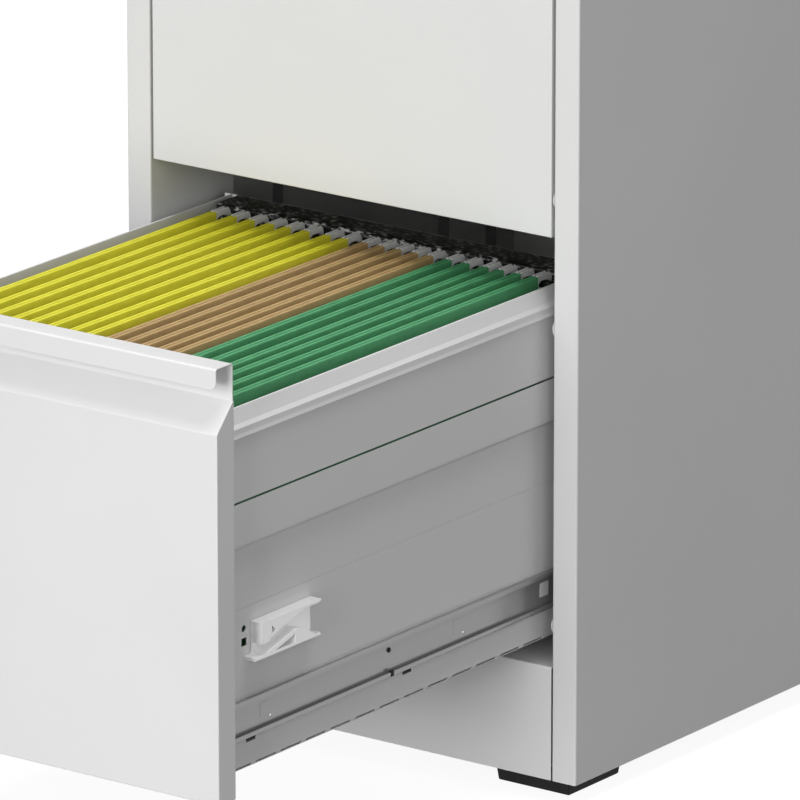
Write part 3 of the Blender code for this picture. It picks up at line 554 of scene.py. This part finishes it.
def make_slide_details(label, side_name):
    """Pressed squares on a drawer member, the last one painted, rivets, a stud and a stop block."""
    side = SIDES[side_name]
    low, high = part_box(f"slide_inner_{label}_{side_name}")
    web = min(abs(low.x), abs(high.x)) + SLIDE_WEB
    tip = max(abs(low.x), abs(high.x))
    origin = drawer_origin(label)
    place = beside(origin, side)
    pads, painted, rivets, stops = bmesh.new(), bmesh.new(), bmesh.new(), bmesh.new()
    for number, y in enumerate(PAD_PLACES):
        outline = rounded_square((y, PAD_RISE), PAD_SIZE, PAD_ROUND)
        plain = number < len(PAD_PLACES) - 1
        add_prism(pads if plain else painted, outline, web - PAD_SUNK, web + PAD_PROUD, place)
        if plain:
            corner = PAD_SIZE / 2 + RIVET_RADIUS
            centre = Vector(place(y + corner, PAD_RISE - corner, web - RIVET_SUNK))
            add_dome(rivets, centre, RIVET_RADIUS, RIVET_PROUD, side)
    stud = Vector(place(STOP_PLACE, STOP_RISE, web - STOP_SUNK))
    add_dome(stops, stud, STOP_RADIUS, STOP_PROUD + STOP_SUNK, side)
    depth, width, height = STOP_BLOCK
    block_rise = low.z - origin.z + BLOCK_LIFT + height / 2
    block = rectangle((STOP_PLACE, block_rise), width, height)
    add_prism(stops, block, tip - depth, tip - BLOCK_INSET, place)
    body = f"drawer_{label}"
    add_piece(f"slide_pads_{label}_{side_name}", pads, "zinc_steel", body, PRESSED_EDGE)
    add_piece(f"slide_last_pad_{label}_{side_name}", painted, "drawer_paint", body, PRESSED_EDGE)
    add_piece(f"slide_rivets_{label}_{side_name}", rivets, "lock_chrome", body, PRESSED_EDGE)
    add_piece(f"slide_stops_{label}_{side_name}", stops, "foot_plastic", body, STOP_EDGE)


def make_buffers(label):
    """Two low buffers on the inner edge of the right stile, beside a drawer front."""
    low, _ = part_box("side_panel_right")
    origin = drawer_origin(label)
    chord = BUFFER_HEIGHT / 2
    radius = (chord ** 2 + BUFFER_PROUD ** 2) / (2 * BUFFER_PROUD)
    sweep = math.degrees(math.asin(chord / radius))
    work = bmesh.new()
    for rise in BUFFER_RISES:
        centre = (low.x + radius - BUFFER_PROUD, origin.z + rise)
        outline = arc(centre, radius, 180 - sweep, 180 + sweep, BUFFER_STEPS)
        start = low.y + BUFFER_INSET
        add_prism(work, outline, start, start + BUFFER_LENGTH, lambda a, b, t: (a, t, b))
    add_piece(f"stile_buffers_{label}", work, "body_paint", "cabinet", BUFFER_EDGE)


def card_path():
    """Section of a hanging file: a glued flap, a sleeve over the bar, a leaf, a fold, and back up."""
    curl = FILE_TOP - SLEEVE_RADIUS - CARD / 2
    leaf = SLEEVE_OFFSET + SLEEVE_RADIUS
    foot = FILE_TOP - SLEEVE_HEIGHT
    glued = leaf - FLAP_SPACING
    right = [
        (glued - PRESS_STEP, foot - FLAP_LENGTH),
        (glued, foot - PRESS_LENGTH),
        (SLEEVE_OFFSET - SLEEVE_RADIUS, foot),
    ]
    right += arc((SLEEVE_OFFSET, curl), SLEEVE_RADIUS, 180, 0, SLEEVE_STEPS)
    right += [
        (leaf, foot),
        (leaf - PRESS_STEP, foot - PRESS_LENGTH),
        (leaf * LEAF_CLOSING, (FILE_TOP + FILE_BOTTOM) / 2),
    ]
    right += arc((0, FILE_BOTTOM + FOLD_RADIUS + CARD / 2), FOLD_RADIUS, 0, -90, CORNER_STEPS)
    left = [(-x, z) for x, z in reversed(right[:-1])]
    return right + left


def hook_end():
    """Points of a bar's end: how far beyond the card's end, and how far below the hook's top."""
    finger = HOOK_REACH - HOOK_FINGER
    finger_low = HOOK_LENGTH - HOOK_CORNER
    bar_low = SLEEVE_HEIGHT - BAR_LIFT
    bend_inset, bend_drop = HOOK_SLOPE_BEND
    return [
        (BAR_SHOULDER, 0),
        (HOOK_REACH - HOOK_SLOPE_START, 0),
        (HOOK_REACH - bend_inset, bend_drop),
        (HOOK_REACH, HOOK_SLOPE_END),
        (HOOK_REACH, finger_low),
        (HOOK_REACH - HOOK_CORNER, HOOK_LENGTH),
        (finger + HOOK_CORNER, HOOK_LENGTH),
        (finger, finger_low),
        (finger, HOOK_NOTCH + HOOK_THROAT),
        (finger - HOOK_THROAT, HOOK_NOTCH),
        (3 * HOOK_ROOT, HOOK_NOTCH),
        (2 * HOOK_ROOT, HOOK_NOTCH + HOOK_CORNER),
        (HOOK_ROOT, HOOK_NOTCH + HOOK_FILLET),
        (HOOK_ROOT, bar_low),
        (-BAR_OVERLAP, bar_low),
    ]


def bar_outline():
    """Side view of a bar with a hook at each end, in the drawer's own y and z."""
    top = FILE_TOP + HOOK_RISE
    inside_top = FILE_TOP - CARD - BAR_PLAY
    rear = [(FILE_END + BAR_SHOULDER, inside_top)]
    rear += [(FILE_END + beyond, top - below) for beyond, below in hook_end()]
    middle = (FILE_START + FILE_END) / 2
    front = [(2 * middle - y, z) for y, z in reversed(rear)]
    return rear + front


def make_file(number, color, centre):
    """One hanging file in the open drawer: a folded card and its two hooked bars."""
    origin = drawer_origin("bottom")
    card = bmesh.new()
    add_prism(
        card, thicken(card_path(), CARD), origin.y + FILE_START, origin.y + FILE_END,
        lambda x, z, t: (centre + x, t, origin.z + z),
    )
    card = object_from(f"file_card_{number:02d}", card)
    card.data.materials.append(CARD_FINISHES[color])
    card.data.shade_smooth()
    card.data.set_sharp_from_angle(angle=SHARP_ANGLE)
    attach(card, "drawer_bottom")
    bars = bmesh.new()
    for side in SIDES.values():
        start = centre + side * BAR_OFFSET - BAR_THICKNESS / 2
        add_prism(bars, bar_outline(), start, start + BAR_THICKNESS, beside(origin, SIDES["right"]))
    bars = object_from(f"file_hooks_{number:02d}", bars)
    bars.data.materials.append(HOOK_FINISH)
    round_edges(bars, BAR_EDGE)
    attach(bars, "drawer_bottom")


def seen_rays(tree):
    """One for rays that show the background: those from the camera, off gloss and through glass."""
    path = tree.nodes.new("ShaderNodeLightPath")
    first = tree.nodes.new("ShaderNodeMath")
    first.operation = "MAXIMUM"
    second = tree.nodes.new("ShaderNodeMath")
    second.operation = "MAXIMUM"
    tree.links.new(path.outputs["Is Camera Ray"], first.inputs[0])
    tree.links.new(path.outputs["Is Glossy Ray"], first.inputs[1])
    tree.links.new(first.outputs["Value"], second.inputs[0])
    tree.links.new(path.outputs["Is Transmission Ray"], second.inputs[1])
    return second.outputs["Value"]


def make_floor():
    """Pale floor: white to the eye with the object's shadow kept, and a dimmer bounce on the object."""
    work = bmesh.new()
    corners = rectangle((0, 0), FLOOR_SIZE, FLOOR_SIZE)
    work.faces.new([work.verts.new((x, y, 0)) for x, y in corners])
    floor = object_from("floor", work)
    material = bpy.data.materials.new("pale_floor")
    material.use_nodes = True
    tree = material.node_tree
    tree.nodes.clear()
    output = tree.nodes.new("ShaderNodeOutputMaterial")
    bounce = tree.nodes.new("ShaderNodeBsdfDiffuse")
    bounce.inputs["Color"].default_value = (*grey(FLOOR_BOUNCE), 1)
    shadow = tree.nodes.new("ShaderNodeBsdfDiffuse")
    shadow.inputs["Color"].default_value = (*grey(FLOOR_TONE), 1)
    glow = tree.nodes.new("ShaderNodeEmission")
    glow.inputs["Color"].default_value = (*grey(1.0), 1)
    glow.inputs["Strength"].default_value = FLOOR_GLOW
    pale = tree.nodes.new("ShaderNodeMixShader")
    pale.inputs["Fac"].default_value = SHADOW_SHARE
    choice = tree.nodes.new("ShaderNodeMixShader")
    tree.links.new(glow.outputs["Emission"], pale.inputs[1])
    tree.links.new(shadow.outputs["BSDF"], pale.inputs[2])
    tree.links.new(seen_rays(tree), choice.inputs["Fac"])
    tree.links.new(bounce.outputs["BSDF"], choice.inputs[1])
    tree.links.new(pale.outputs["Shader"], choice.inputs[2])
    tree.links.new(choice.outputs["Shader"], output.inputs["Surface"])
    floor.data.materials.append(material)


def make_world():
    """Even light all round, white where it is seen directly or in gloss."""
    world = bpy.data.worlds.new("studio")
    bpy.context.scene.world = world
    world.use_nodes = True
    tree = world.node_tree
    background = tree.nodes["Background"]
    background.inputs["Color"].default_value = (*grey(1.0), 1)
    level = tree.nodes.new("ShaderNodeMapRange")
    level.inputs["To Min"].default_value = SKY_LEVEL
    level.inputs["To Max"].default_value = 1.0
    tree.links.new(seen_rays(tree), level.inputs["Value"])
    tree.links.new(level.outputs["Result"], background.inputs["Strength"])


def make_lamp(name, place, size, power):
    """Soft square lamp aimed at the object. It gives light and isn't seen itself."""
    data = bpy.data.lights.new(name, "AREA")
    data.size = size
    data.energy = power
    lamp = bpy.data.objects.new(name, data)
    lamp.location = place
    lamp.rotation_mode = "QUATERNION"
    lamp.rotation_quaternion = (LAMP_AIM - lamp.location).to_track_quat("-Z", "Y")
    lamp.visible_camera = False
    lamp.visible_glossy = False
    bpy.context.scene.collection.objects.link(lamp)


def make_camera():
    """Camera with a long lens, turned to the photograph's azimuth and elevation."""
    data = bpy.data.cameras.new("camera")
    data.lens = CAMERA_LENS
    data.sensor_width = CAMERA_SENSOR
    data.clip_end = CAMERA_SIGHT
    camera = bpy.data.objects.new("camera", data)
    camera.location = CAMERA_PLACE
    level = math.cos(CAMERA_ELEVATION)
    forward = Vector((
        -math.sin(CAMERA_AZIMUTH) * level,
        math.cos(CAMERA_AZIMUTH) * level,
        -math.sin(CAMERA_ELEVATION),
    ))
    camera.rotation_mode = "QUATERNION"
    camera.rotation_quaternion = forward.to_track_quat("-Z", "Y")
    bpy.context.scene.collection.objects.link(camera)
    bpy.context.scene.camera = camera


for node in nodes.values():
    for holder in node.material_slots:
        holder.material = FINISHES[holder.material.name]
    round_edges(node, angle=RIM_ANGLE if node.name.startswith("side_extension") else SHARP_ANGLE)
for label in DRAWERS:
    make_tray(label)
    make_buffers(label)
    for side_name in SIDES:
        make_slide_details(label, side_name)
files = [(color, place) for color, places in FILE_PLACES.items() for place in places]
for number, (color, place) in enumerate(files, start=1):
    make_file(number, color, place * MM)
make_floor()
make_world()
make_lamp("key", KEY_PLACE, KEY_SIZE, KEY_POWER)
make_lamp("overhead", OVERHEAD_PLACE, OVERHEAD_SIZE, OVERHEAD_POWER)
make_lamp("side", SIDE_PLACE, SIDE_SIZE, SIDE_POWER)
make_lamp("fill", FILL_PLACE, FILL_SIZE, FILL_POWER)
make_camera()
bpy.context.scene.view_settings.view_transform = "Standard"
